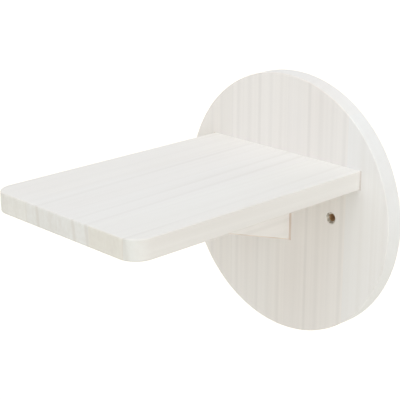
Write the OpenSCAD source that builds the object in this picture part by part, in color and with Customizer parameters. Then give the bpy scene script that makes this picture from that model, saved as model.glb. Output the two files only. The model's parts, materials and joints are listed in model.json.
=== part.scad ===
// Cat wall shelf: a round wall plate that carries a step on a wedge-shaped gusset.
// The origin is the centre of the plate's back face, which lies on the wall.
// The step points along -Y, +X is to its right seen from the front, and +Z is up.

/* [Wall plate] */
// Diameter of the round plate
disc_d = 250; // [220:1:320]
// Thickness of the plate
disc_t = 18; // [15:0.5:28]
// Radius of the eased edges of the plate
disc_edge_r = 1.25; // [1:0.25:5]

/* [Step] */
// Width of the step
shelf_w = 182; // [150:1:220]
// How far the step stands out from the plate
shelf_reach = 264; // [180:1:340]
// Thickness of the step
shelf_t = 18; // [15:0.5:26]
// Radius of the two front corners, seen from above
shelf_corner_r = 18; // [6:1:40]
// Radius of the eased edges of the step
shelf_edge_r = 1.25; // [1:0.25:5]
// Height of the step's top face above the plate's centre
shelf_top_z = 52; // [30:1:70]

/* [Gusset] */
// Thickness of the gusset
gusset_t = 18; // [15:0.5:28]
// Height of the gusset where it meets the plate
gusset_h = 68; // [55:1:85]
// Length of the gusset along the step
gusset_l = 175; // [140:1:210]
// Height of the gusset's blunt front end
gusset_nose_h = 12; // [8:0.5:18]

/* [Wall holes] */
// Distance between the two wall holes
wall_hole_pitch = 118; // [80:1:170]
// Diameter of the hole for the wall screw
wall_hole_d = 7; // [5:0.25:9]
// Diameter of the countersink at the front face
wall_sink_d = 12; // [10:0.25:16]

/* [Screws] */
// Outer diameter of the thread
screw_d = 5; // [4:0.25:6]
// Length of a screw with its head
screw_l = 60; // [45:1:72]
// Diameter of the countersunk head
screw_head_d = 9.6; // [8:0.1:12]
// Length of the pointed end
screw_point_l = 7; // [4:0.5:10]
// How deep the head lies below the plate's back face
screw_sink = 1; // [0.5:0.25:2]
// Distance of a screw into the step from the step's side
shelf_screw_edge = 46; // [30:1:60]
// Distance of the upper screw into the gusset from the step's underside
gusset_screw_edge = 18; // [12:1:22]
// Wood left between the end of the lower screw's hole and the gusset's sloping edge
gusset_screw_wall = 3; // [2:0.5:8]
// Width of one slot of the cross recess
recess_w = 1.2; // [0.8:0.1:1.6]
// Length of one slot of the cross recess
recess_l = 5; // [3:0.25:6]
// Depth of the cross recess
recess_depth = 2.2; // [1.5:0.1:3]

/* [Dowels] */
// Diameter of a dowel
dowel_d = 8; // [6:0.5:10]
// Length of a dowel
dowel_l = 30; // [25:1:36]
// Chamfer at the ends of a dowel
dowel_chamfer = 1; // [0.5:0.25:1.5]
// How deep a dowel goes into the plate, or into the step's underside
dowel_seat = 11; // [8:0.5:13]
// Distance of a dowel that locates the step from the step's side
shelf_dowel_edge = 16; // [10:1:30]
// Wood left between the screws' points and the rear gusset dowel
rear_dowel_wall = 13; // [5:1:25]
// Wood left under the hole of the front gusset dowel
front_dowel_wall = 9; // [4:1:14]

/* [Clearances] */
// Gap around a screw in its hole
screw_gap = 0.1; // [0.05:0.05:0.3]
// Gap around a dowel in its hole
dowel_gap = 0.1; // [0.05:0.05:0.3]
// Spare depth beyond a dowel's end for glue
glue_room = 1; // [0.5:0.25:2]

/* [Hidden] */
$fn = 64;

// Length by which a cut runs clear of the face that it opens
past = 1;
// Heights of the step and the gusset
shelf_low_z = shelf_top_z - shelf_t;
shelf_mid_z = shelf_top_z - shelf_t / 2;
gusset_low_z = shelf_low_z - gusset_h;
gusset_slope = (gusset_h - gusset_nose_h) / gusset_l;
// A right-angled countersink is as deep as it is wide on one side
wall_sink_depth = (wall_sink_d - wall_hole_d) / 2;
screw_head_h = (screw_head_d - screw_d) / 2;
// How far the screws reach beyond the plate, and the radius of their holes
screw_reach = screw_sink + screw_l - disc_t;
screw_hole_r = screw_d / 2 + screw_gap;
// Heights of the gusset's screws
upper_screw_z = shelf_low_z - gusset_screw_edge;
lower_screw_z = gusset_low_z + gusset_slope * screw_reach + screw_hole_r + gusset_screw_wall;
// Distances of the gusset's dowels from the plate, and the depth of their holes in the gusset
gusset_dowel_depth = dowel_l - dowel_seat + glue_room;
rear_dowel_reach = screw_reach + rear_dowel_wall + dowel_d / 2;
front_dowel_reach = (gusset_h - gusset_dowel_depth - front_dowel_wall) / gusset_slope;

white_glaze = [0.93, 0.91, 0.87];
zinc = [0.72, 0.72, 0.70];
beech = [0.80, 0.64, 0.45];

// Section of a slab of thickness t, square at x = 0 and with both edges rounded at x = r
module eased_half(r, t, edge) {
  square([r - edge, t]);
  translate([0, edge]) square([r, t - 2 * edge]);
  for (y = [edge, t - edge])
    translate([r - edge, y]) circle(edge);
}

// A solid of revolution about a line along -Y, with the profile's zero at the given point
module turned(at) {
  translate(at) rotate([90, 0, 0]) rotate_extrude() children();
}

// Places of the fasteners: side is -1 for left and 1 for right
function shelf_screw_at(side) = [side * (shelf_w / 2 - shelf_screw_edge), 0, shelf_mid_z];
function gusset_screw_at(z) = [0, 0, z];
function shelf_dowel_at(side) = [side * (shelf_w / 2 - shelf_dowel_edge), dowel_seat - disc_t, shelf_mid_z];
function gusset_dowel_at(reach) = [0, -disc_t - reach, shelf_low_z + dowel_seat - dowel_l];

// A wood screw that runs along -Y from the given point on the back face
module wood_screw(at) {
  r = screw_d / 2;
  color(zinc) difference() {
    turned(at) polygon([
      [0, screw_sink], [screw_head_d / 2, screw_sink], [r, screw_sink + screw_head_h],
      [r, screw_sink + screw_l - screw_point_l], [0, screw_sink + screw_l]
    ]);
    for (turn = [0, 90])
      translate([at.x, (past - recess_depth) / 2 - screw_sink, at.z]) rotate([0, turn, 0])
        cube([recess_l, recess_depth + past, recess_w], center = true);
  }
}

// The hole for a wood screw: a bore, a countersink, and the way in for the head
module screw_hole(at) {
  head_r = screw_head_d / 2 + screw_gap;
  end = screw_sink + screw_l + screw_gap;
  turned(at) polygon([
    [0, -past], [head_r, -past], [head_r, screw_sink],
    [screw_hole_r, screw_sink + head_r - screw_hole_r], [screw_hole_r, end], [0, end]
  ]);
}

// The holes for all four screws
module screw_holes() {
  for (side = [-1, 1]) screw_hole(shelf_screw_at(side));
  for (z = [upper_screw_z, lower_screw_z]) screw_hole(gusset_screw_at(z));
}

// The section of a dowel, or of its hole when a gap and spare room are given
module dowel_section(gap = 0, room = 0) {
  r = dowel_d / 2 + gap;
  polygon([
    [0, -room], [r - dowel_chamfer, -room], [r, dowel_chamfer - room],
    [r, dowel_l - dowel_chamfer + room], [r - dowel_chamfer, dowel_l + room], [0, dowel_l + room]
  ]);
}

// The two dowel holes between the plate and the step
module shelf_dowel_holes() {
  for (side = [-1, 1])
    turned(shelf_dowel_at(side)) dowel_section(dowel_gap, glue_room);
}

// The two dowel holes between the gusset and the step
module gusset_dowel_holes() {
  for (reach = [rear_dowel_reach, front_dowel_reach])
    translate(gusset_dowel_at(reach)) rotate_extrude() dowel_section(dowel_gap, glue_room);
}

// A wall hole: a countersink at the front face and a plain bore to the back
module wall_hole(x) {
  r = wall_hole_d / 2;
  sink_r = wall_sink_d / 2;
  turned([x, 0, 0]) polygon([
    [0, -past], [r, -past], [r, disc_t - wall_sink_depth],
    [sink_r, disc_t], [sink_r, disc_t + past], [0, disc_t + past]
  ]);
}

// Round plate that is screwed to the wall
module wall_disc() {
  color(white_glaze) difference() {
    turned([0, 0, 0]) eased_half(disc_d / 2, disc_t, disc_edge_r);
    for (side = [-1, 1]) wall_hole(side * wall_hole_pitch / 2);
    screw_holes();
    shelf_dowel_holes();
  }
}

// The step before drilling: a middle block, a strip along each side and two turned front corners
module shelf_blank() {
  inner_w = shelf_w - 2 * shelf_corner_r;
  side_l = shelf_reach - shelf_corner_r;
  translate([-inner_w / 2, -disc_t, shelf_low_z]) rotate([90, 0, 90]) linear_extrude(inner_w)
    mirror([1, 0]) eased_half(shelf_reach, shelf_t, shelf_edge_r);
  for (side = [0, 1]) mirror([side, 0, 0]) {
    translate([inner_w / 2, -disc_t, shelf_low_z]) rotate([90, 0, 0]) linear_extrude(side_l)
      eased_half(shelf_corner_r, shelf_t, shelf_edge_r);
    translate([inner_w / 2, -disc_t - side_l, shelf_low_z]) rotate([0, 0, -90]) rotate_extrude(angle = 90)
      eased_half(shelf_corner_r, shelf_t, shelf_edge_r);
  }
}

// Step that the cat stands on
module shelf_board() {
  color(white_glaze) difference() {
    shelf_blank();
    screw_holes();
    shelf_dowel_holes();
    gusset_dowel_holes();
  }
}

// Wedge that props the step against the plate
module support_gusset() {
  color(white_glaze) difference() {
    translate([-gusset_t / 2, -disc_t, shelf_low_z]) rotate([90, 0, 90]) linear_extrude(gusset_t)
      polygon([[0, 0], [-gusset_l, 0], [-gusset_l, -gusset_nose_h], [0, -gusset_h]]);
    screw_holes();
    gusset_dowel_holes();
  }
}

// Screws from the plate's back into the step and the gusset
module shelf_screw_left() wood_screw(shelf_screw_at(-1));
module shelf_screw_right() wood_screw(shelf_screw_at(1));
module gusset_screw_upper() wood_screw(gusset_screw_at(upper_screw_z));
module gusset_screw_lower() wood_screw(gusset_screw_at(lower_screw_z));

// Dowels between the plate and the step, and between the gusset and the step
module shelf_dowel_left() color(beech) turned(shelf_dowel_at(-1)) dowel_section();
module shelf_dowel_right() color(beech) turned(shelf_dowel_at(1)) dowel_section();
module gusset_dowel_rear()
  color(beech) translate(gusset_dowel_at(rear_dowel_reach)) rotate_extrude() dowel_section();
module gusset_dowel_front()
  color(beech) translate(gusset_dowel_at(front_dowel_reach)) rotate_extrude() dowel_section();

wall_disc();
shelf_board();
support_gusset();
shelf_screw_left();
shelf_screw_right();
gusset_screw_upper();
gusset_screw_lower();
shelf_dowel_left();
shelf_dowel_right();
gusset_dowel_rear();
gusset_dowel_front();
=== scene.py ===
"""Looks of a cat wall shelf: a round wall plate, a step and a wedge gusset of white-glazed solid wood.

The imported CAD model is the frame. Every piece is built in metres in that frame, with the origin at
the centre of the plate's back face, -Y towards the room and +Z up, and rides on its one body.
"""

import json
import logging
import math
from collections.abc import Callable, Iterable
from dataclasses import dataclass, replace
from enum import Enum
from functools import partial
from typing import Any

import bmesh
import bpy
from mathutils import Matrix, Vector


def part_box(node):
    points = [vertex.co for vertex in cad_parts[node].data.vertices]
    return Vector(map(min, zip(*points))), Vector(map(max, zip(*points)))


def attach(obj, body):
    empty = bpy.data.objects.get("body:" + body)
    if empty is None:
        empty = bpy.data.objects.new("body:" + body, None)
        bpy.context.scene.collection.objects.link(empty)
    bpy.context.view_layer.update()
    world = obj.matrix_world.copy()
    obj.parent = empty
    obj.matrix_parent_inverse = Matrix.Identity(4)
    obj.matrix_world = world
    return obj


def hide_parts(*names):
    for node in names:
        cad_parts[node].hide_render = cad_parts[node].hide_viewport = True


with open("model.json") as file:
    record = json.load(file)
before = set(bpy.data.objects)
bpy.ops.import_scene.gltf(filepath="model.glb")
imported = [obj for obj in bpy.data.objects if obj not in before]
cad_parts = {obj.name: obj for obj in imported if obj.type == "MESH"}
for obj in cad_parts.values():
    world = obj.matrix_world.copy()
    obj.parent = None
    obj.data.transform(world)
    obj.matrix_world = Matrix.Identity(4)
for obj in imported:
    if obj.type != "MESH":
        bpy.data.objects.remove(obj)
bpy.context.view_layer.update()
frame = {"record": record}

MM = 0.001
BODY = "root"
MERGE_DISTANCE = 0.001 * MM
SHARP_ANGLE = math.radians(35)
WEAR = "wear"
OUT = Vector((0, -1, 0))
INTO = Vector((0, 1, 0))
UP = Vector((0, 0, 1))
DOWN = Vector((0, 0, -1))
STAND_UP = Matrix.Rotation(math.pi / 2, 4, "X")

# Where weighted normals look for the strength of each face, and its value for a weak one
FACE_STRENGTH = "__mod_weightednormals_faceweight"
WEAK = -16384

Mesh = bmesh.types.BMesh
Node = bpy.types.Node
Socket = bpy.types.NodeSocket
AddNode = Callable[..., Node]
Outline = list[tuple[float, float]]

log = logging.getLogger("cat_wall_shelf")


class Slot(Enum):
    """Material slots of the record."""

    GLAZED_WOOD = "glazed_wood"
    ZINC_STEEL = "zinc_steel"
    BEECH_DOWEL = "beech_dowel"


class Grain(Enum):
    """How a board lies in the log: the axes across its rings, along its fibres and through both."""

    UPRIGHT = ("X", "Z", "Y")
    OUTWARD = ("X", "Y", "Z")
    OUTWARD_ON_EDGE = ("Z", "Y", "X")


class Streak(Enum):
    """Noise in the wood: its size across, along and through the log in millimetres, and its detail.

    Real fibres are a few hundredths of a millimetre wide, so they are drawn coarser, to show.
    """

    DRIFT = ((60, 500, 90), 1)
    BANDS = ((9, 600, 7), 1)
    FINE = ((3.2, 350, 5), 1)
    FIBRES = ((1.2, 90, 1.2), 2)
    MOTTLE = ((55, 165, 55), 1)
    RUBBING = ((25, 25, 25), 1)


class Coat(Enum):
    """Order of a piece's materials, by how much of its finish a face wears."""

    FULL = 0
    NONE = 1
    # A thin coat; in a countersink, its material's grey is partly painted shade
    THIN = 2


def linear(colour: str) -> tuple[float, float, float, float]:
    """Turns an sRGB hex colour into linear RGBA.

    Args:
        colour: Six hex digits after a hash sign.

    Returns:
        Red, green and blue as linear light, and an alpha of 1.
    """
    levels = [int(colour[i:i + 2], 16) / 255 for i in (1, 3, 5)]
    light = [v / 12.92 if v <= 0.04045 else ((v + 0.055) / 1.055) ** 2.4 for v in levels]
    return light[0], light[1], light[2], 1.0


def add_node(tree: bpy.types.NodeTree, kind: str, inputs: dict[Any, Any] | None = None,
             stops: Iterable[tuple[float, str]] = (), **settings: Any) -> Node:
    """Adds one node with its settings and links.

    Args:
        tree: The material's or world's node tree.
        kind: Node type without its ShaderNode prefix.
        inputs: Input names or numbers, each with a value, an output, or a node whose first output is meant.
        stops: For a colour ramp, positions from 0 to 1 with sRGB hex colours.
        **settings: The node's own properties.

    Returns:
        The new node.
    """
    node = tree.nodes.new("ShaderNode" + kind)
    for name, value in settings.items():
        setattr(node, name, value)
    sockets = {s.name: s for s in reversed(node.inputs) if s.enabled}
    for key, value in (inputs or {}).items():
        socket = sockets[key] if isinstance(key, str) else node.inputs[key]
        if isinstance(value, Node):
            value = next(s for s in value.outputs if s.enabled)
        if isinstance(value, Socket):
            tree.links.new(value, socket)
        else:
            socket.default_value = value
    for number, (position, colour) in enumerate(stops):
        elements = node.color_ramp.elements
        stop = elements[number] if number < 2 else elements.new(position)
        stop.position = position
        stop.color = linear(colour)
    return node


def new_material(name: str) -> tuple[bpy.types.Material, AddNode]:
    """Makes an empty node material.

    Args:
        name: Common name of the real material and how its surface was made.

    Returns:
        The material, and what adds a node to it.
    """
    material = bpy.data.materials.new(name)
    material.use_nodes = True
    material.node_tree.nodes.clear()
    return material, partial(add_node, material.node_tree)


@dataclass(frozen=True)
class GlazedWood:
    """Edge-glued softwood panel, planed, with a thin white glaze.

    The glaze lets the wood show as faint stripes: pale bands between darker ring lines, staves of
    slightly different tone, and a warmer, darker look where the glaze soaked into end grain or was
    rubbed thin on an edge. Lengths are in millimetres. A share says how much a pattern darkens the
    wood, a shift slides it along the fibres, and cover is the glaze's share of the colour.
    """

    name: str
    grain: Grain
    seed: int
    staves: tuple[str, ...]
    ends: tuple[str, ...] = ()
    seed_step: int = 7
    first_joint: float = -120.0
    stave_width: float = 71.5
    stave_shift: float = 4.0
    ring_pitch: float = 13.0
    ring_phase: float = 0.0
    ring_seed: float = 3.0
    ring_slope: float = 0.0
    ring_lean: float = 0.15
    ring_drift: float = 2.5
    line_width: float = 5.0
    strong_line_reach: float = 0.6
    faint_line_reach: float = 1.2
    line_share: float = 0.8
    faintest_line: float = 0.25
    joint_width: float = 1.0
    joint_share: float = 0.35
    band_share: float = 0.9
    band_shift: float = 0.0
    fine_share: float = 1.0
    fibre_share: float = 0.25
    mean_shade: float = 0.2
    face_cover: float = 0.78
    side_cover: float = 0.78
    end_cover: float = 0.66
    # Painted light: change of the flat faces' cover per millimetre along the fibres, lightening a board
    # towards one end
    painted_light_slope: float = 0.0
    mottle_share: float = 0.06
    mottle_shift: float = 0.0
    rubbing_range: float = 1.6
    least_rubbing: float = 0.2
    glaze: str = "#EDEFEF"
    dark_tint: str = "#CEBFAC"
    end_contrast: float = 0.5
    relief: float = 0.12
    relief_depth: float = 0.1
    roughness: float = 0.6
    roughness_range: float = 0.12
    ior: float = 1.5

    def material(self) -> bpy.types.Material:
        """Builds the node material.

        Returns:
            The glazed wood, drawn as a solid pattern so that faces and end grain agree.
        """
        material, add = new_material(self.name)
        place = add("TexCoord")
        scaled = add("VectorMath", {0: place.outputs["Object"], "Scale": 1 / MM}, operation="SCALE")
        parts = add("SeparateXYZ", {0: scaled})
        axes = [parts.outputs[axis] for axis in self.grain.value]
        streaks = self.streaks(add, axes)
        from_joint = add("Math", {0: axes[0], 1: self.first_joint}, operation="SUBTRACT")
        staves_in = add("Math", {0: from_joint, 1: self.stave_width}, operation="DIVIDE")
        lines = self.ring_lines(add, axes, staves_in, streaks[Streak.DRIFT])
        shares = self.grain_shares(add, place.outputs["Normal"])
        wood = self.bare_wood(add, staves_in, lines, streaks, shares[1])
        cover = self.glaze_cover(add, axes[1], shares, streaks)
        colour = add("Mix", {"Factor": cover, "A": wood, "B": linear(self.glaze)}, data_type="RGBA")
        fibres = streaks[Streak.FIBRES]
        bump = add("Bump", {"Height": fibres, "Strength": self.relief, "Distance": self.relief_depth * MM})
        least = self.roughness - self.roughness_range / 2
        gloss = add("Math", {0: fibres, 1: self.roughness_range, 2: least}, operation="MULTIPLY_ADD")
        shader = add("BsdfPrincipled", {"Base Color": colour, "Roughness": gloss, "IOR": self.ior,
                                        "Normal": bump})
        add("OutputMaterial", {0: shader})
        return material

    def streaks(self, add: AddNode, axes: list[Socket]) -> dict[Streak, Node]:
        """Adds every kind of streak, each from its own part of the noise.

        Args:
            add: Adds a node to the material.
            axes: Places across, along and through the log in millimetres.

        Returns:
            One noise for each kind of streak.
        """
        log_space = add("CombineXYZ", dict(enumerate(axes)))
        shifts = {Streak.MOTTLE: self.mottle_shift, Streak.BANDS: self.band_shift}
        noises = {}
        for number, streak in enumerate(Streak):
            size, detail = streak.value
            start = (self.seed + self.seed_step * number, shifts.get(streak, 0.0), 0)
            stretched = add("Mapping", {"Vector": log_space, "Location": start,
                                        "Scale": [1 / length for length in size]})
            noises[streak] = add("TexNoise", {"Vector": stretched, "Scale": 1.0, "Detail": detail})
        return noises

    def ring_lines(self, add: AddNode, axes: list[Socket], staves_in: Node, drift: Node) -> Node:
        """Adds ring lines, which run with the fibres, drift a little and jump from stave to stave.

        Args:
            add: Adds a node to the material.
            axes: Places across, along and through the log in millimetres.
            staves_in: Place across the log, counted in staves.
            drift: Slow noise that bends the lines.

        Returns:
            How dark the ring lines are, from 0 to 1.
        """
        across, along, through = axes
        stave = add("Math", {0: staves_in}, operation="FLOOR")
        moved = across
        for source, factor in ((drift, 2 * self.ring_drift), (along, self.ring_slope),
                               (through, self.ring_lean), (stave, -self.stave_shift)):
            moved = add("Math", {0: source, 1: factor, 2: moved}, operation="MULTIPLY_ADD")
        phased = add("Math", {0: moved, 1: self.ring_phase}, operation="SUBTRACT")
        ring = add("Math", {0: phased, 1: self.ring_pitch}, operation="DIVIDE")
        nearest = add("Math", {0: ring}, operation="ROUND")
        aside = add("Math", {0: ring, 1: nearest}, operation="SUBTRACT")
        distance = add("Math", {0: aside}, operation="ABSOLUTE")
        number = add("Math", {0: nearest, 1: self.ring_seed}, operation="ADD")
        chance = add("TexWhiteNoise", {"W": number}, noise_dimensions="1D")

        # A strong line is narrower than a faint one
        width = self.line_width / self.ring_pitch
        narrowing = (self.strong_line_reach - self.faint_line_reach) * width
        reach = add("Math", {0: chance, 1: narrowing, 2: self.faint_line_reach * width},
                    operation="MULTIPLY_ADD")
        profile = add("MapRange", {0: distance, "From Max": reach, "To Min": 1.0, "To Max": 0.0},
                      interpolation_type="SMOOTHSTEP")
        strength = add("Math", {0: chance, 1: 1 - self.faintest_line, 2: self.faintest_line},
                       operation="MULTIPLY_ADD")
        return add("Math", {0: profile, 1: strength}, operation="MULTIPLY")

    def grain_shares(self, add: AddNode, normal: Socket) -> tuple[Node, Node, Node]:
        """Adds how far a face is side grain, end grain and flat grain; the three add up to 1.

        Args:
            add: Adds a node to the material.
            normal: The way the face looks.

        Returns:
            The shares of side, end and flat grain; a face is end grain as far as it cuts the fibres.
        """
        turned = add("SeparateXYZ", {0: normal})
        across, along, through = (turned.outputs[axis] for axis in self.grain.value)
        end = add("Math", {0: along}, operation="ABSOLUTE")
        divisor = add("Math", {0: end, 1: 1.0}, operation="ADD")
        squares = [add("Math", {0: part, 1: part}, operation="MULTIPLY") for part in (across, through)]
        side, flat = (add("Math", {0: square, 1: divisor}, operation="DIVIDE") for square in squares)
        return side, end, flat

    def bare_wood(self, add: AddNode, staves_in: Node, lines: Node, streaks: dict[Streak, Node],
                  end: Node) -> Node:
        """Adds the colour under the glaze: each stave's own, darker on joints, ring lines and streaks.

        Args:
            add: Adds a node to the material.
            staves_in: Place across the log, counted in staves.
            lines: How dark the ring lines are.
            streaks: One noise for each kind of streak.
            end: Share of end grain, which has tones of its own.

        Returns:
            The colour of the bare wood.
        """
        even = self.mean_shade - (self.band_share + self.fine_share + self.fibre_share) / 2
        # Distance to the nearest joint, which is at most half a stave
        to_joint = add("Math", {0: staves_in, 1: 0.5}, operation="PINGPONG")
        darkness = add("MapRange", {0: to_joint, "From Max": self.joint_width / self.stave_width,
                                    "To Min": even + self.joint_share, "To Max": even})
        for source, share in ((lines, self.line_share), (streaks[Streak.BANDS], self.band_share),
                              (streaks[Streak.FINE], self.fine_share),
                              (streaks[Streak.FIBRES], self.fibre_share)):
            darkness = add("Math", {0: source, 1: share, 2: darkness}, operation="MULTIPLY_ADD")
        shade = add("ValToRGB", {0: darkness}, stops=((0.0, "#FFFFFF"), (1.0, self.dark_tint)))
        count = len(self.staves)
        part = add("Math", {0: staves_in, 1: count}, operation="DIVIDE")
        woods = []
        for tones, contrast in ((self.staves, 1.0), (self.ends or self.staves, self.end_contrast)):
            tone = add("ValToRGB", {0: part}, stops=[(n / count, colour) for n, colour in enumerate(tones)])
            tone.color_ramp.interpolation = "CONSTANT"
            woods.append(add("Mix", {"Factor": contrast, "A": tone, "B": shade}, data_type="RGBA",
                             blend_type="MULTIPLY"))
        return add("Mix", {"Factor": end, "A": woods[0], "B": woods[1]}, data_type="RGBA")

    def glaze_cover(self, add: AddNode, along: Socket, shares: tuple[Node, Node, Node],
                    streaks: dict[Streak, Node]) -> Node:
        """Adds the cover of the glaze: each kind of grain has its own, a worn face is patchy, and a slope
        along the fibres paints light onto flat faces.

        Args:
            add: Adds a node to the material.
            along: Place along the fibres in millimetres.
            shares: Shares of side, end and flat grain.
            streaks: One noise for each kind of streak.

        Returns:
            The glaze's share of the colour.
        """
        cover = add("Math", {0: streaks[Streak.MOTTLE], 1: self.mottle_share, 2: -self.mottle_share / 2},
                    operation="MULTIPLY_ADD")
        # Painted light: the flat faces' cover slopes along the fibres, so the step's top is lighter at its
        # front and darker by the plate
        flat_cover_with_painted_light = add("Math", {0: along, 1: self.painted_light_slope, 2: self.face_cover}, operation="MULTIPLY_ADD")
        for share, full in zip(shares, (self.side_cover, self.end_cover, flat_cover_with_painted_light)):
            cover = add("Math", {0: share, 1: full, 2: cover}, operation="MULTIPLY_ADD")
        wear = add("Attribute", attribute_name=WEAR).outputs["Fac"]
        patches = add("Math", {0: streaks[Streak.RUBBING], 1: self.rubbing_range, 2: self.least_rubbing},
                      operation="MULTIPLY_ADD")
        worn = add("Math", {0: wear, 1: patches}, operation="MULTIPLY")
        kept = add("Math", {0: 1.0, 1: worn}, operation="SUBTRACT", use_clamp=True)
        return add("Math", {0: cover, 1: kept}, operation="MULTIPLY")


@dataclass(frozen=True)
class FleckedWood:
    """Wood without a full coat: matt, with darker flecks of cut fibres; sizes are in millimetres.

    The flecks are drawn larger than real cut fibres, which are too fine to show. In a countersink, the grey
    tone and dark flecks are partly painted shade.
    """

    name: str
    pale: str
    dark: str
    fleck_size: float = 0.7
    fleck_detail: float = 2.0
    dark_up_to: float = 0.35
    pale_from: float = 0.65
    relief: float = 0.4
    relief_depth: float = 0.1
    roughness: float = 0.85
    ior: float = 1.5

    def material(self) -> bpy.types.Material:
        """Builds the node material.

        Returns:
            The flecked wood of a drilled hole or a dowel.
        """
        material, add = new_material(self.name)
        place = add("TexCoord").outputs["Object"]
        scaled = add("VectorMath", {0: place, "Scale": 1 / (self.fleck_size * MM)}, operation="SCALE")
        flecks = add("TexNoise", {"Vector": scaled, "Scale": 1.0, "Detail": self.fleck_detail})
        tone = add("ValToRGB", {0: flecks}, stops=((self.dark_up_to, self.dark), (self.pale_from, self.pale)))
        bump = add("Bump", {"Height": flecks, "Strength": self.relief, "Distance": self.relief_depth * MM})
        shader = add("BsdfPrincipled", {"Base Color": tone, "Roughness": self.roughness, "IOR": self.ior,
                                        "Normal": bump})
        add("OutputMaterial", {0: shader})
        return material


@dataclass(frozen=True)
class ZincSteel:
    """Steel with bright zinc plating: pale grey metal, satin, a little cloudy; sizes are in millimetres."""

    name: str
    bright: str = "#D3D4D2"
    dull: str = "#B3B5B2"
    cloud_size: float = 3.0
    cloud_detail: float = 3.0
    dull_up_to: float = 0.3
    bright_from: float = 0.7
    roughness: float = 0.32
    roughness_range: float = 0.16

    def material(self) -> bpy.types.Material:
        """Builds the node material.

        Returns:
            The plated steel of the screws.
        """
        material, add = new_material(self.name)
        place = add("TexCoord").outputs["Object"]
        scaled = add("VectorMath", {0: place, "Scale": 1 / (self.cloud_size * MM)}, operation="SCALE")
        clouds = add("TexNoise", {"Vector": scaled, "Scale": 1.0, "Detail": self.cloud_detail})
        tone = add("ValToRGB", {0: clouds},
                   stops=((self.dull_up_to, self.dull), (self.bright_from, self.bright)))
        most = self.roughness + self.roughness_range / 2
        gloss = add("Math", {0: clouds, 1: -self.roughness_range, 2: most}, operation="MULTIPLY_ADD")
        shader = add("BsdfPrincipled", {"Base Color": tone, "Metallic": 1.0, "Roughness": gloss})
        add("OutputMaterial", {0: shader})
        return material


def turn_profile(bm: Mesh, start: Vector, inward: Vector, outline: Outline, coat: Coat,
                 steps: int = 40) -> None:
    """Turns an outline about an axis, as the wall of a round hole or the body of a screw.

    Args:
        bm: The piece's mesh.
        start: Point on the axis from which depths are measured.
        inward: Unit vector along the axis.
        outline: Radius and depth of each point of the outline.
        coat: Which of the piece's materials the new faces wear.
        steps: Number of steps round the axis.
    """
    before = set(bm.faces)
    side = inward.orthogonal().normalized()
    verts = [bm.verts.new(start + inward * depth + side * radius) for radius, depth in outline]
    edges = [bm.edges.new(pair) for pair in zip(verts, verts[1:])]
    bmesh.ops.spin(bm, geom=verts + edges, cent=start, axis=inward, angle=2 * math.pi, steps=steps,
                   use_merge=True)
    for f in set(bm.faces) - before:
        f.material_index = coat.value


def close_face(bm: Mesh, point: Vector, normal: Vector, coat: Coat = Coat.FULL) -> None:
    """Fills a flat face of a board up to its outline and round the mouths of its holes.

    Args:
        bm: The board's mesh, open at that face.
        point: A point on the face.
        normal: Outward unit normal of the face.
        coat: Which of the board's materials the face wears.
    """
    bmesh.ops.remove_doubles(bm, verts=bm.verts, dist=MERGE_DISTANCE)
    rim = [e for e in bm.edges if len(e.link_faces) < 2
           and all(abs((v.co - point).dot(normal)) < MERGE_DISTANCE for v in e.verts)]
    made = bmesh.ops.triangle_fill(bm, edges=rim, use_beauty=True, normal=normal)["geom"]
    for g in made:
        if isinstance(g, bmesh.types.BMFace):
            g.material_index = coat.value


def open_face(bm: Mesh, point: Vector, normal: Vector) -> None:
    """Takes away the one flat face of a board that lies in a plane.

    Args:
        bm: The board's mesh.
        point: A point on the face.
        normal: Unit normal of the face.
    """
    flat = [f for f in bm.faces if all(abs((v.co - point).dot(normal)) < MERGE_DISTANCE for v in f.verts)]
    bmesh.ops.delete(bm, geom=flat, context="FACES_ONLY")


def wear_layer(bm: Mesh) -> bmesh.types.BMLayerItem:
    """Finds or adds the face values that say how much of the glaze is worn off, from 0 to 1."""
    return bm.faces.layers.float.get(WEAR) or bm.faces.layers.float.new(WEAR)


@dataclass
class Piece:
    """One piece of the part, which stands for a CAD node and rides on the part's body."""

    name: str
    node: str
    slot: Slot
    materials: tuple[bpy.types.Material, ...]

    def model(self, bm: Mesh) -> None:
        """Models the piece in place; each kind of piece has its own way."""
        raise NotImplementedError

    @property
    def low(self) -> Vector:
        """Lowest corner of the CAD node."""
        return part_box(self.node)[0]

    @property
    def high(self) -> Vector:
        """Highest corner of the CAD node."""
        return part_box(self.node)[1]

    @property
    def centre(self) -> Vector:
        """Middle of the CAD node's box."""
        return (self.low + self.high) / 2

    def build(self) -> bpy.types.Object:
        """Makes the object, dresses it and ties it to the frame.

        Returns:
            The finished object, at the origin with its place in its mesh.
        """
        bm = bmesh.new()
        self.model(bm)
        bmesh.ops.remove_doubles(bm, verts=bm.verts, dist=MERGE_DISTANCE)
        bmesh.ops.recalc_face_normals(bm, faces=bm.faces)
        for f in bm.faces:
            f.smooth = True
        for e in bm.edges:
            e.smooth = len(e.link_faces) == 2 and e.calc_face_angle() < SHARP_ANGLE
        mesh = bpy.data.meshes.new(self.name)
        bm.to_mesh(mesh)
        bm.free()
        for material in self.materials:
            mesh.materials.append(material)
        piece = bpy.data.objects.new(self.name, mesh)
        bpy.context.scene.collection.objects.link(piece)
        shading = piece.modifiers.new("even_shading", "WEIGHTED_NORMAL")
        shading.keep_sharp = True
        shading.use_face_influence = True
        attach(piece, BODY)
        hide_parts(self.node)
        log.info("%s: %d faces, stands for %s", self.name, len(mesh.polygons), self.node)
        return piece


@dataclass
class Fixing(Piece):
    """Screw or dowel, which has a hole of its own in each board that it enters."""

    hole_gap: float = 0.1 * MM

    def hole_outline(self, mouth: Vector, inward: Vector) -> Outline:
        """Outline of the blind hole in one board; each kind of fixing has its own."""
        raise NotImplementedError

    @property
    def length(self) -> float:
        """Length of the fixing."""
        return max(self.high - self.low)

    def reach(self, mouth: Vector, inward: Vector) -> float:
        """Depth of the fixing's end in a board, below the hole's mouth."""
        return (self.centre - mouth).dot(inward) + self.length / 2


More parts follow.
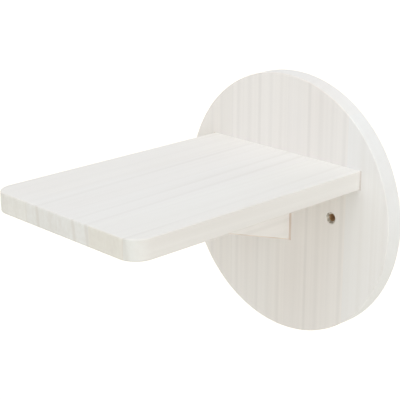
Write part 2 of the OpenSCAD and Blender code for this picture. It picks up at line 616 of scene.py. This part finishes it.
@dataclass
class Screw(Fixing):
    """Countersunk wood screw with a cross recess, driven from the plate's back along -Y."""

    head_length: float = 3.0 * MM
    shank_radius: float = 1.75 * MM
    core_radius: float = 1.55 * MM
    shoulder: float = 1.0 * MM
    thread_radius: float = 2.5 * MM
    thread_root_radius: float = 1.395 * MM
    thread_half_width: float = 0.75 * MM
    thread_pitch: float = 2.5 * MM
    thread_length: float = 37.0 * MM
    first_thread: float = 0.7
    last_thread: float = 0.05
    point_length: float = 7.0 * MM
    lip: float = 0.3 * MM
    recess_width: float = 1.2 * MM
    recess_length: float = 5.0 * MM
    recess_depth: float = 2.2 * MM
    recess_taper: float = 0.6
    steps: int = 24

    @property
    def head_radius(self) -> float:
        """Radius of the head."""
        return (self.high.x - self.low.x) / 2

    @property
    def bore_radius(self) -> float:
        """Radius of the hole that the thread runs in."""
        return self.thread_radius + self.hole_gap

    def seat_outline(self, thickness: float) -> Outline:
        """Outline of the hole through the plate, from its back face: way in, countersink and bore.

        Args:
            thickness: Thickness of the plate.

        Returns:
            Radius and depth of each point.
        """
        way_in = self.head_radius + self.hole_gap
        face_depth = -self.high.y + self.hole_gap
        return [(way_in, 0.0), (way_in, face_depth),
                (self.bore_radius, face_depth + way_in - self.bore_radius), (self.bore_radius, thickness)]

    def hole_outline(self, mouth: Vector, inward: Vector) -> Outline:
        """Outline of the blind hole in the board that the screw holds to the plate.

        Args:
            mouth: Centre of the hole on the board's face.
            inward: Unit vector into that board.

        Returns:
            Radius and depth of each point, ending at the axis.
        """
        depth = self.reach(mouth, inward)
        return [(self.bore_radius, 0.0), (self.bore_radius, depth - self.point_length), (0.0, depth)]

    def model(self, bm: Mesh) -> None:
        """Spins head, shank and core, cuts the cross recess and winds the thread.

        Args:
            bm: The piece's mesh, empty at first.
        """
        top = Vector((self.centre.x, self.high.y, self.centre.z))
        core_from = self.length - self.thread_length
        turn_profile(bm, top, OUT, [
            (self.head_radius, 0.0), (self.head_radius, self.lip), (self.shank_radius, self.head_length),
            (self.shank_radius, core_from), (self.core_radius, core_from + self.shoulder),
            (self.core_radius, self.length - self.point_length), (0.0, self.length)], Coat.FULL, self.steps)
        self.cut_recess(bm, top)
        self.wind_thread(bm, top)

    def cut_recess(self, bm: Mesh, top: Vector) -> None:
        """Closes the head's face round a cross and sinks the cross into the head.

        Args:
            bm: The screw's mesh.
            top: Centre of the head's face.
        """
        across, half = self.recess_length / 2, self.recess_width / 2
        quarter = [(across, -half), (across, half), (half, half)]
        verts = []
        for turn in range(4):
            spin = Matrix.Rotation(turn * math.pi / 2, 3, "Y")
            verts += [bm.verts.new(top + spin @ Vector((x, 0, -z))) for x, z in quarter]
        edges = [bm.edges.new((a, b)) for a, b in zip(verts, verts[1:] + verts[:1])]
        wall = bmesh.ops.extrude_edge_only(bm, edges=edges)["geom"]
        sunk = [g for g in wall if isinstance(g, bmesh.types.BMVert)]
        bmesh.ops.translate(bm, verts=sunk, vec=OUT * self.recess_depth)
        shrink = Matrix.Diagonal((self.recess_taper, 1, self.recess_taper))
        bmesh.ops.transform(bm, verts=sunk, matrix=shrink.to_4x4(), space=Matrix.Translation(-top))
        bmesh.ops.contextual_create(bm, geom=[g for g in wall if isinstance(g, bmesh.types.BMEdge)
                                              and all(v in sunk for v in g.verts)])
        close_face(bm, top, INTO)

    def wind_thread(self, bm: Mesh, top: Vector) -> None:
        """Winds the thread round the core, low at its start and tapered with the point.

        Args:
            bm: The screw's mesh.
            top: Centre of the head's face.
        """
        length = self.length
        start = length - self.thread_length + self.thread_pitch
        turns = (self.thread_length - 2 * self.thread_pitch) / self.thread_pitch
        outline = [(self.thread_root_radius, start - self.thread_half_width), (self.thread_radius, start),
                   (self.thread_root_radius, start + self.thread_half_width)]
        verts = [bm.verts.new(top + OUT * depth + Vector((radius, 0, 0))) for radius, depth in outline]
        edges = [bm.edges.new((a, b)) for a, b in zip(verts, verts[1:] + verts[:1])]
        known = set(bm.verts) - set(verts)
        bmesh.ops.spin(bm, geom=verts + edges, cent=top, axis=OUT, angle=2 * math.pi * turns,
                       steps=round(turns * self.steps), dvec=OUT * self.thread_pitch / self.steps)
        wound = [v for v in bm.verts if v not in known]
        ends = {e for v in wound for e in v.link_edges if e.is_boundary}
        bmesh.ops.holes_fill(bm, edges=list(ends), sides=3)
        for v in wound:
            depth = (v.co - top).dot(OUT)
            taper = min(1.0, (length - depth) / self.point_length,
                        (depth - start) / self.thread_pitch + self.first_thread)
            axis_point = top + OUT * depth
            v.co = axis_point + (v.co - axis_point) * max(taper, self.last_thread)


@dataclass
class Dowel(Fixing):
    """Fluted dowel with chamfered ends, on the axis along which its CAD node is longest."""

    flutes: int = 20
    flute_points: int = 4
    flute_depth: float = 0.35 * MM
    chamfer: float = 1.0 * MM
    end_room: float = 1.0 * MM

    @property
    def axis(self) -> Vector:
        """Unit vector along the dowel."""
        size = self.high - self.low
        longest = max(range(3), key=lambda i: size[i])
        return Vector([float(i == longest) for i in range(3)])

    @property
    def radius(self) -> float:
        """Outer radius of the dowel."""
        return min(self.high - self.low) / 2

    def hole_outline(self, mouth: Vector, inward: Vector) -> Outline:
        """Outline of the dowel's blind hole in one board.

        Args:
            mouth: Centre of the hole on the board's face.
            inward: Unit vector into that board.

        Returns:
            Radius and depth of each point, ending at the axis.
        """
        depth = self.reach(mouth, inward) + self.end_room
        wall = self.radius + self.hole_gap
        return [(wall, 0.0), (wall, depth), (0.0, depth)]

    def model(self, bm: Mesh) -> None:
        """Draws the fluted end, then extrudes chamfer, body and second chamfer from it.

        Args:
            bm: The piece's mesh, empty at first.
        """
        turn = UP.rotation_difference(self.axis).to_matrix().to_4x4()
        ends = bmesh.ops.create_circle(bm, cap_ends=True, segments=self.flute_points * self.flutes,
                                       radius=self.radius)["verts"]
        for number, v in enumerate(ends):
            if number % self.flute_points < self.flute_points / 2:
                v.co *= 1 - self.flute_depth / self.radius
        small = (self.radius - self.chamfer) / self.radius
        bmesh.ops.scale(bm, verts=ends, vec=(small, small, 1))
        made = list(bm.faces) + list(bm.edges)
        body = self.length - 2 * self.chamfer
        for rise, widen in ((self.chamfer, 1 / small), (body, 1.0), (self.chamfer, small)):
            made = bmesh.ops.extrude_face_region(bm, geom=made)["geom"]
            ring = [g for g in made if isinstance(g, bmesh.types.BMVert)]
            bmesh.ops.translate(bm, verts=ring, vec=(0, 0, rise))
            bmesh.ops.scale(bm, verts=ring, vec=(widen, widen, 1))
        bmesh.ops.translate(bm, verts=bm.verts, vec=(0, 0, -self.length / 2))
        bmesh.ops.transform(bm, verts=bm.verts, matrix=Matrix.Translation(self.centre) @ turn)


@dataclass
class Board(Piece):
    """Board of glazed wood with eased edges, drilled for the screws and dowels that hold it."""

    screws: tuple[Screw, ...] = ()
    dowels: tuple[Dowel, ...] = ()
    edge_radius: float = 1.25 * MM
    edge_segments: int = 4
    edge_wear: float = 0.0

    def ease(self, bm: Mesh, edges: list[bmesh.types.BMEdge]) -> None:
        """Rounds edges, and keeps the rounded faces from bending the shading of the flat ones.

        Args:
            bm: The board's mesh.
            edges: The edges to round, off which some of the glaze is rubbed.
        """
        strength = bm.faces.layers.int.get(FACE_STRENGTH) or bm.faces.layers.int.new(FACE_STRENGTH)
        layer = wear_layer(bm)
        made = bmesh.ops.bevel(bm, geom=edges, offset=self.edge_radius, offset_type="OFFSET", affect="EDGES",
                               segments=self.edge_segments, profile=0.5, material=-1, clamp_overlap=True)
        for f in made["faces"]:
            f[strength] = WEAK
            f[layer] = self.edge_wear

    def drill(self, bm: Mesh, fixings: Iterable[Fixing], face: Vector, inward: Vector) -> None:
        """Drills a blind hole for each fixing that enters the board through a flat face.

        Args:
            bm: The board's mesh, open at that face.
            fixings: Screws or dowels.
            face: A point on the face.
            inward: Unit vector into the board.
        """
        for fixing in fixings:
            mouth = fixing.centre + inward * (face - fixing.centre).dot(inward)
            turn_profile(bm, mouth, inward, fixing.hole_outline(mouth, inward), Coat.NONE)


@dataclass
class WallPlate(Board):
    """Round wall plate with wall holes, and seats for the screws in its back."""

    edge_wear: float = 0.12
    rim_steps: int = 192
    glue_lines: tuple[tuple[str, float], ...] = (("support_gusset", 2.6 * MM), ("shelf_board", 1.4 * MM))
    glue_wear: float = 0.6
    wall_sink_radius: float = 6.0 * MM
    wall_sink_band: float = 0.65 * MM
    wall_holes: tuple[str, ...] = ("wall_hole_left", "wall_hole_right")

    def model(self, bm: Mesh) -> None:
        """Extrudes a disc, eases its edges and drills it.

        Args:
            bm: The piece's mesh, empty at first.
        """
        thickness = self.high.y - self.low.y
        front, back = Vector((0, self.low.y, 0)), Vector((0, self.high.y, 0))
        bmesh.ops.create_circle(bm, cap_ends=True, segments=self.rim_steps, radius=self.high.x,
                                matrix=STAND_UP)
        made = bmesh.ops.extrude_face_region(bm, geom=list(bm.faces))["geom"]
        moved = [g for g in made if isinstance(g, bmesh.types.BMVert)]
        bmesh.ops.translate(bm, verts=moved, vec=OUT * thickness)
        bmesh.ops.recalc_face_normals(bm, faces=bm.faces)
        self.ease(bm, [e for e in bm.edges if abs(e.verts[0].co.y - e.verts[1].co.y) < MERGE_DISTANCE])
        open_face(bm, front, OUT)
        open_face(bm, back, INTO)
        mounts = {mount["name"]: mount for mount in frame["record"]["mounts"]}
        for name in self.wall_holes:
            self.drill_wall_hole(bm, mounts[name], front, thickness)
        for screw in self.screws:
            mouth = Vector((screw.centre.x, back.y, screw.centre.z))
            turn_profile(bm, mouth, OUT, screw.seat_outline(thickness), Coat.NONE)
        self.drill(bm, self.dowels, front, INTO)
        self.draw_glue_lines(bm, front)
        close_face(bm, front, OUT)
        close_face(bm, back, INTO)

    def draw_glue_lines(self, bm: Mesh, front: Vector) -> None:
        """Lays narrow strips into the front face, where glue beside an upright joint kept the glaze off.

        Args:
            bm: The plate's mesh, open at the front.
            front: A point on the front face.
        """
        layer = wear_layer(bm)
        for node, width in self.glue_lines:
            low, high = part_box(node)
            for x in (low.x - width / 2, high.x + width / 2):
                place = Matrix.Translation((x, front.y, (low.z + high.z) / 2))
                size = Matrix.Diagonal((width, high.z - low.z, 1, 1))
                strip = bmesh.ops.create_grid(bm, x_segments=1, y_segments=1, size=0.5,
                                              matrix=place @ STAND_UP @ size)["verts"]
                for f in {f for v in strip for f in v.link_faces}:
                    f[layer] = self.glue_wear

    def drill_wall_hole(self, bm: Mesh, mount: dict[str, Any], front: Vector, thickness: float) -> None:
        """Drills one wall hole: a countersink, glazed at its mouth and thinly below, where painted shade
        greys it, and a bare bore.

        Args:
            bm: The plate's mesh.
            mount: The hole's mount in the record.
            front: A point on the front face.
            thickness: Thickness of the plate.
        """
        mouth = Vector((mount["pos_m"][0], front.y, mount["pos_m"][2]))
        bore = mount["dims"]["r_mm"] * MM
        sink_depth = self.wall_sink_radius - bore
        band = self.wall_sink_radius - self.wall_sink_band
        turn_profile(bm, mouth, INTO, [(self.wall_sink_radius, 0.0), (band, self.wall_sink_band)], Coat.FULL)
        # Below the band the countersink wears the thin coat, whose grey is partly painted shade
        turn_profile(bm, mouth, INTO, [(band, self.wall_sink_band), (bore, sink_depth)], Coat.THIN)
        turn_profile(bm, mouth, INTO, [(bore, sink_depth), (bore, thickness)], Coat.NONE)


@dataclass
class StepBoard(Board):
    """Step with rounded front corners, square where it meets the plate; its dowels enter its rear."""

    under_dowels: tuple[Dowel, ...] = ()
    corner_radius: float = 18.0 * MM
    corner_segments: int = 14
    edge_wear: float = 0.08

    def model(self, bm: Mesh) -> None:
        """Scales a block to the board, rounds it and drills it.

        Args:
            bm: The piece's mesh, empty at first.
        """
        rear, under = Vector((0, self.high.y, 0)), Vector((0, 0, self.low.z))
        place = Matrix.Translation(self.centre) @ Matrix.Diagonal((*(self.high - self.low), 1))
        bmesh.ops.create_cube(bm, size=1.0, matrix=place)
        corners = [e for e in bm.edges if all(abs(v.co.y - self.low.y) < MERGE_DISTANCE for v in e.verts)
                   and abs(e.verts[0].co.x - e.verts[1].co.x) < MERGE_DISTANCE]
        bmesh.ops.bevel(bm, geom=corners, offset=self.corner_radius, offset_type="OFFSET", affect="EDGES",
                        segments=self.corner_segments, profile=0.5, material=-1)
        rims = [e for e in bm.edges if abs(e.verts[0].co.z - e.verts[1].co.z) < MERGE_DISTANCE
                and not all(abs(v.co.y - self.high.y) < MERGE_DISTANCE for v in e.verts)]
        self.ease(bm, rims)
        open_face(bm, rear, INTO)
        open_face(bm, under, DOWN)
        self.drill(bm, self.screws + self.dowels, rear, OUT)
        self.drill(bm, self.under_dowels, under, UP)
        close_face(bm, rear, INTO)
        close_face(bm, under, DOWN, Coat.THIN)


@dataclass
class Gusset(Board):
    """Upright wedge under the step: full height at the plate, a low nose at its front."""

    nose_height: float = 12.0 * MM
    edge_radius: float = 0.8 * MM
    edge_segments: int = 3
    edge_wear: float = 0.6

    def model(self, bm: Mesh) -> None:
        """Extrudes the wedge's outline, eases its free edges and drills it.

        Args:
            bm: The piece's mesh, empty at first.
        """
        rear, top = Vector((0, self.high.y, 0)), Vector((0, 0, self.high.z))
        outline = [(self.high.y, self.high.z), (self.low.y, self.high.z),
                   (self.low.y, self.high.z - self.nose_height), (self.high.y, self.low.z)]
        side = bm.faces.new([bm.verts.new((self.low.x, y, z)) for y, z in outline])
        made = bmesh.ops.extrude_face_region(bm, geom=[side])["geom"]
        bmesh.ops.translate(bm, verts=[g for g in made if isinstance(g, bmesh.types.BMVert)],
                            vec=(self.high.x - self.low.x, 0, 0))
        bmesh.ops.recalc_face_normals(bm, faces=bm.faces)
        free = [e for e in bm.edges if any(abs(v.co.z - self.high.z) > MERGE_DISTANCE for v in e.verts)
                and any(abs(v.co.y - self.high.y) > MERGE_DISTANCE for v in e.verts)]
        self.ease(bm, free)
        open_face(bm, rear, INTO)
        open_face(bm, top, UP)
        self.drill(bm, self.screws, rear, OUT)
        self.drill(bm, self.dowels, top, DOWN)
        close_face(bm, rear, INTO)
        close_face(bm, top, UP)


@dataclass(frozen=True)
class SoftLamp:
    """Wide, distant studio lamp: where it stands from the part, its strength and how wide it looks."""

    name: str
    towards: tuple[float, float, float]
    strength: float
    spread: float


@dataclass(frozen=True)
class Studio:
    """Plain studio: a camera at the photograph's view, a pale floor far below and soft light."""

    focal_pixels: float = 1209.8
    frame_pixels: float = 400.0
    sensor_width: float = 36.0
    camera_place: tuple[float, float, float] = (0.72715, -0.82848, 0.36223)
    camera_pitch: float = -18.282
    camera_yaw: float = 46.010
    floor_height: float = -1.4
    floor_width: float = 60.0
    floor_colour: str = "#F2EFE6"
    floor_glow: float = 0.3
    ambient: float = 0.502
    lamps: tuple[SoftLamp, ...] = (
        SoftLamp("front", (0.19, -1.0, 1.0), 0.84, 90.0),
        SoftLamp("top", (0.0, -0.05, 1.0), 0.452, 60.0),
        SoftLamp("key", (0.15, -0.5, 1.0), 0.322, 25.0),
        SoftLamp("side", (1.0, -0.6, 0.1), 0.537, 30.0),
        SoftLamp("rim", (1.0, -0.1, 0.3), 0.287, 30.0),
    )

    def set_camera(self) -> None:
        """Places the camera; its lens comes from the focal length in pixels of the 400 px frame."""
        data = bpy.data.cameras.new("camera")
        data.sensor_width = self.sensor_width
        data.lens = self.focal_pixels / self.frame_pixels * self.sensor_width
        camera = bpy.data.objects.new("camera", data)
        camera.location = self.camera_place
        camera.rotation_euler = (math.radians(90 + self.camera_pitch), 0, math.radians(self.camera_yaw))
        bpy.context.scene.collection.objects.link(camera)
        bpy.context.scene.camera = camera

    def seen_directly(self, add: AddNode) -> Node:
        """Adds nodes that tell the rays which show the background from those which light the part.

        Args:
            add: Adds a node to the world.

        Returns:
            A number that is 1 for camera, glossy and transmission rays.
        """
        path = add("LightPath").outputs
        either = add("Math", {0: path["Is Camera Ray"], 1: path["Is Glossy Ray"]}, operation="MAXIMUM")
        return add("Math", {0: either, 1: path["Is Transmission Ray"]}, operation="MAXIMUM")

    def set_world(self) -> None:
        """Lights the part evenly from all round, and shows white behind it."""
        world = bpy.data.worlds.new("white_studio")
        world.use_nodes = True
        world.node_tree.nodes.clear()
        add = partial(add_node, world.node_tree)
        light, white = (add("Background", {"Color": linear("#FFFFFF"), "Strength": strength})
                        for strength in (self.ambient, 1.0))
        both = add("MixShader", {0: self.seen_directly(add), 1: light, 2: white})
        add("OutputWorld", {0: both})
        bpy.context.scene.world = world

    def lay_floor(self) -> None:
        """Lays a pale matt floor that keeps the part's shadow and reads white from the camera."""
        material, add = new_material("floor_pale_matt")
        matt = add("BsdfDiffuse", {"Color": linear(self.floor_colour)})
        seen = add("LightPath").outputs["Is Camera Ray"]
        glow = add("Emission", {"Strength": add("Math", {0: seen, 1: self.floor_glow}, operation="MULTIPLY")})
        both = add("AddShader", {0: matt, 1: glow})
        add("OutputMaterial", {0: both})
        bm = bmesh.new()
        level = Matrix.Translation((0, 0, self.floor_height))
        bmesh.ops.create_grid(bm, x_segments=1, y_segments=1, size=self.floor_width / 2, matrix=level)
        mesh = bpy.data.meshes.new("floor")
        bm.to_mesh(mesh)
        bm.free()
        mesh.materials.append(material)
        floor = bpy.data.objects.new("floor", mesh)
        bpy.context.scene.collection.objects.link(floor)

    def hang_lamps(self) -> None:
        """Hangs the lamps and turns them to the part."""
        for lamp in self.lamps:
            data = bpy.data.lights.new(lamp.name, "SUN")
            data.energy = lamp.strength
            data.angle = math.radians(lamp.spread)
            light = bpy.data.objects.new(lamp.name, data)
            light.location = lamp.towards
            light.rotation_euler = (-Vector(lamp.towards)).to_track_quat("-Z", "Y").to_euler()
            bpy.context.scene.collection.objects.link(light)

    def build(self) -> None:
        """Sets up camera, light and floor."""
        bpy.context.scene.view_settings.view_transform = "Standard"
        self.set_camera()
        self.set_world()
        self.lay_floor()
        self.hang_lamps()


def main() -> None:
    """Builds the studio and every piece."""
    logging.basicConfig(level=logging.INFO, format="%(message)s")
    Studio().build()

    # Softwood cut by a drill: rough and matt, warm brown with flecks of torn fibres
    bare = FleckedWood("softwood_drilled_bare", pale="#CDAE86", dark="#A07C54").material()
    # The same with a thin coat, as in a countersink: pale, with grey-brown flecks that are partly painted
    # shade of the hollow
    sunk = FleckedWood("softwood_countersunk_thin_glaze_painted_shade", pale="#D8D3C9", dark="#8E877B",
                       fleck_size=2.2).material()
    # Plate, glazed on upright staves: warm white with faint upright stripes, whiter on its rim
    plate_wood = GlazedWood(
        "softwood_glazed_upright", Grain.UPRIGHT, 1, ("#CDB59B", "#D8C2AE", "#D4BDAA", "#CDC4BF"),
        first_joint=-138.5, stave_shift=-5.0, ring_pitch=13.5, ring_phase=-0.2, ring_seed=19915.0,
        line_share=0.95, faintest_line=0.0, band_share=0.7, band_shift=16.5, mottle_share=0.2,
        mottle_shift=9.8, face_cover=0.79, side_cover=0.865, end_cover=0.865).material()
    # Step, glazed on narrower staves that run outwards: a whiter top with painted light that makes its front
    # lighter, and greyer ends that drank the glaze
    step_glaze = GlazedWood(
        "softwood_glazed_outward", Grain.OUTWARD, 2,
        ("#D7C3AC", "#D5C3B2", "#D3C3B8", "#D3C5BC", "#D8CEC0", "#D5C8B8"),
        ends=("#CEC6B8", "#C8C6BB", "#C4C4BE", "#C8C9C4", "#C3BCA6", "#BEC6C0"),
        first_joint=-123.0, stave_width=40.0, stave_shift=-3.0, ring_pitch=16.5, ring_phase=10.0,
        ring_seed=18554.0, ring_slope=0.039, line_share=1.1, faintest_line=0.0, band_share=0.6,
        band_shift=16.5, mottle_share=0.15, mottle_shift=9.8, face_cover=0.834, side_cover=0.757,
        end_cover=0.605, end_contrast=0.85, painted_light_slope=-0.00015, glaze="#EEEFEE")
    step_wood = step_glaze.material()
    # Its underside, glazed once: the warm wood shows through; it keeps the top's painted light along its
    # length
    under_wood = replace(step_glaze, name="softwood_glazed_outward_once", face_cover=0.45).material()
    # Gusset, glazed on one stave: even, faintly pink
    gusset_wood = GlazedWood("softwood_glazed_wedge", Grain.OUTWARD_ON_EDGE, 3, ("#ECD5C3", "#ECD5C3"),
                             face_cover=0.84, glaze="#F0F2F2").material()
    # Screws of plated steel: pale grey metal with a satin sheen, a little cloudy
    zinc = (ZincSteel("steel_zinc_plated").material(),)
    # Dowels of turned beech: matt, pinkish tan with small darker flecks
    beech = (FleckedWood("beech_turned_bare", pale="#D9BC94", dark="#B48E63", fleck_size=0.6, dark_up_to=0.36,
                         pale_from=0.5, relief=0.2, roughness=0.7).material(),)

    shelf_screws = tuple(Screw(f"screw_shelf_{side}", f"shelf_screw_{side}", Slot.ZINC_STEEL, zinc)
                         for side in ("left", "right"))
    gusset_screws = tuple(Screw(f"screw_gusset_{place}", f"gusset_screw_{place}", Slot.ZINC_STEEL, zinc)
                          for place in ("upper", "lower"))
    shelf_dowels = tuple(Dowel(f"dowel_shelf_{side}", f"shelf_dowel_{side}", Slot.BEECH_DOWEL, beech)
                         for side in ("left", "right"))
    gusset_dowels = tuple(Dowel(f"dowel_gusset_{place}", f"gusset_dowel_{place}", Slot.BEECH_DOWEL, beech)
                          for place in ("rear", "front"))
    boards = (
        WallPlate("wall_plate", "wall_disc", Slot.GLAZED_WOOD, (plate_wood, bare, sunk),
                  screws=shelf_screws + gusset_screws, dowels=shelf_dowels),
        StepBoard("step", "shelf_board", Slot.GLAZED_WOOD, (step_wood, bare, under_wood),
                  screws=shelf_screws, dowels=shelf_dowels, under_dowels=gusset_dowels),
        Gusset("gusset", "support_gusset", Slot.GLAZED_WOOD, (gusset_wood, bare), screws=gusset_screws,
               dowels=gusset_dowels),
    )
    for piece in boards + shelf_screws + gusset_screws + shelf_dowels + gusset_dowels:
        piece.build()


if __name__ == "__main__":
    main()
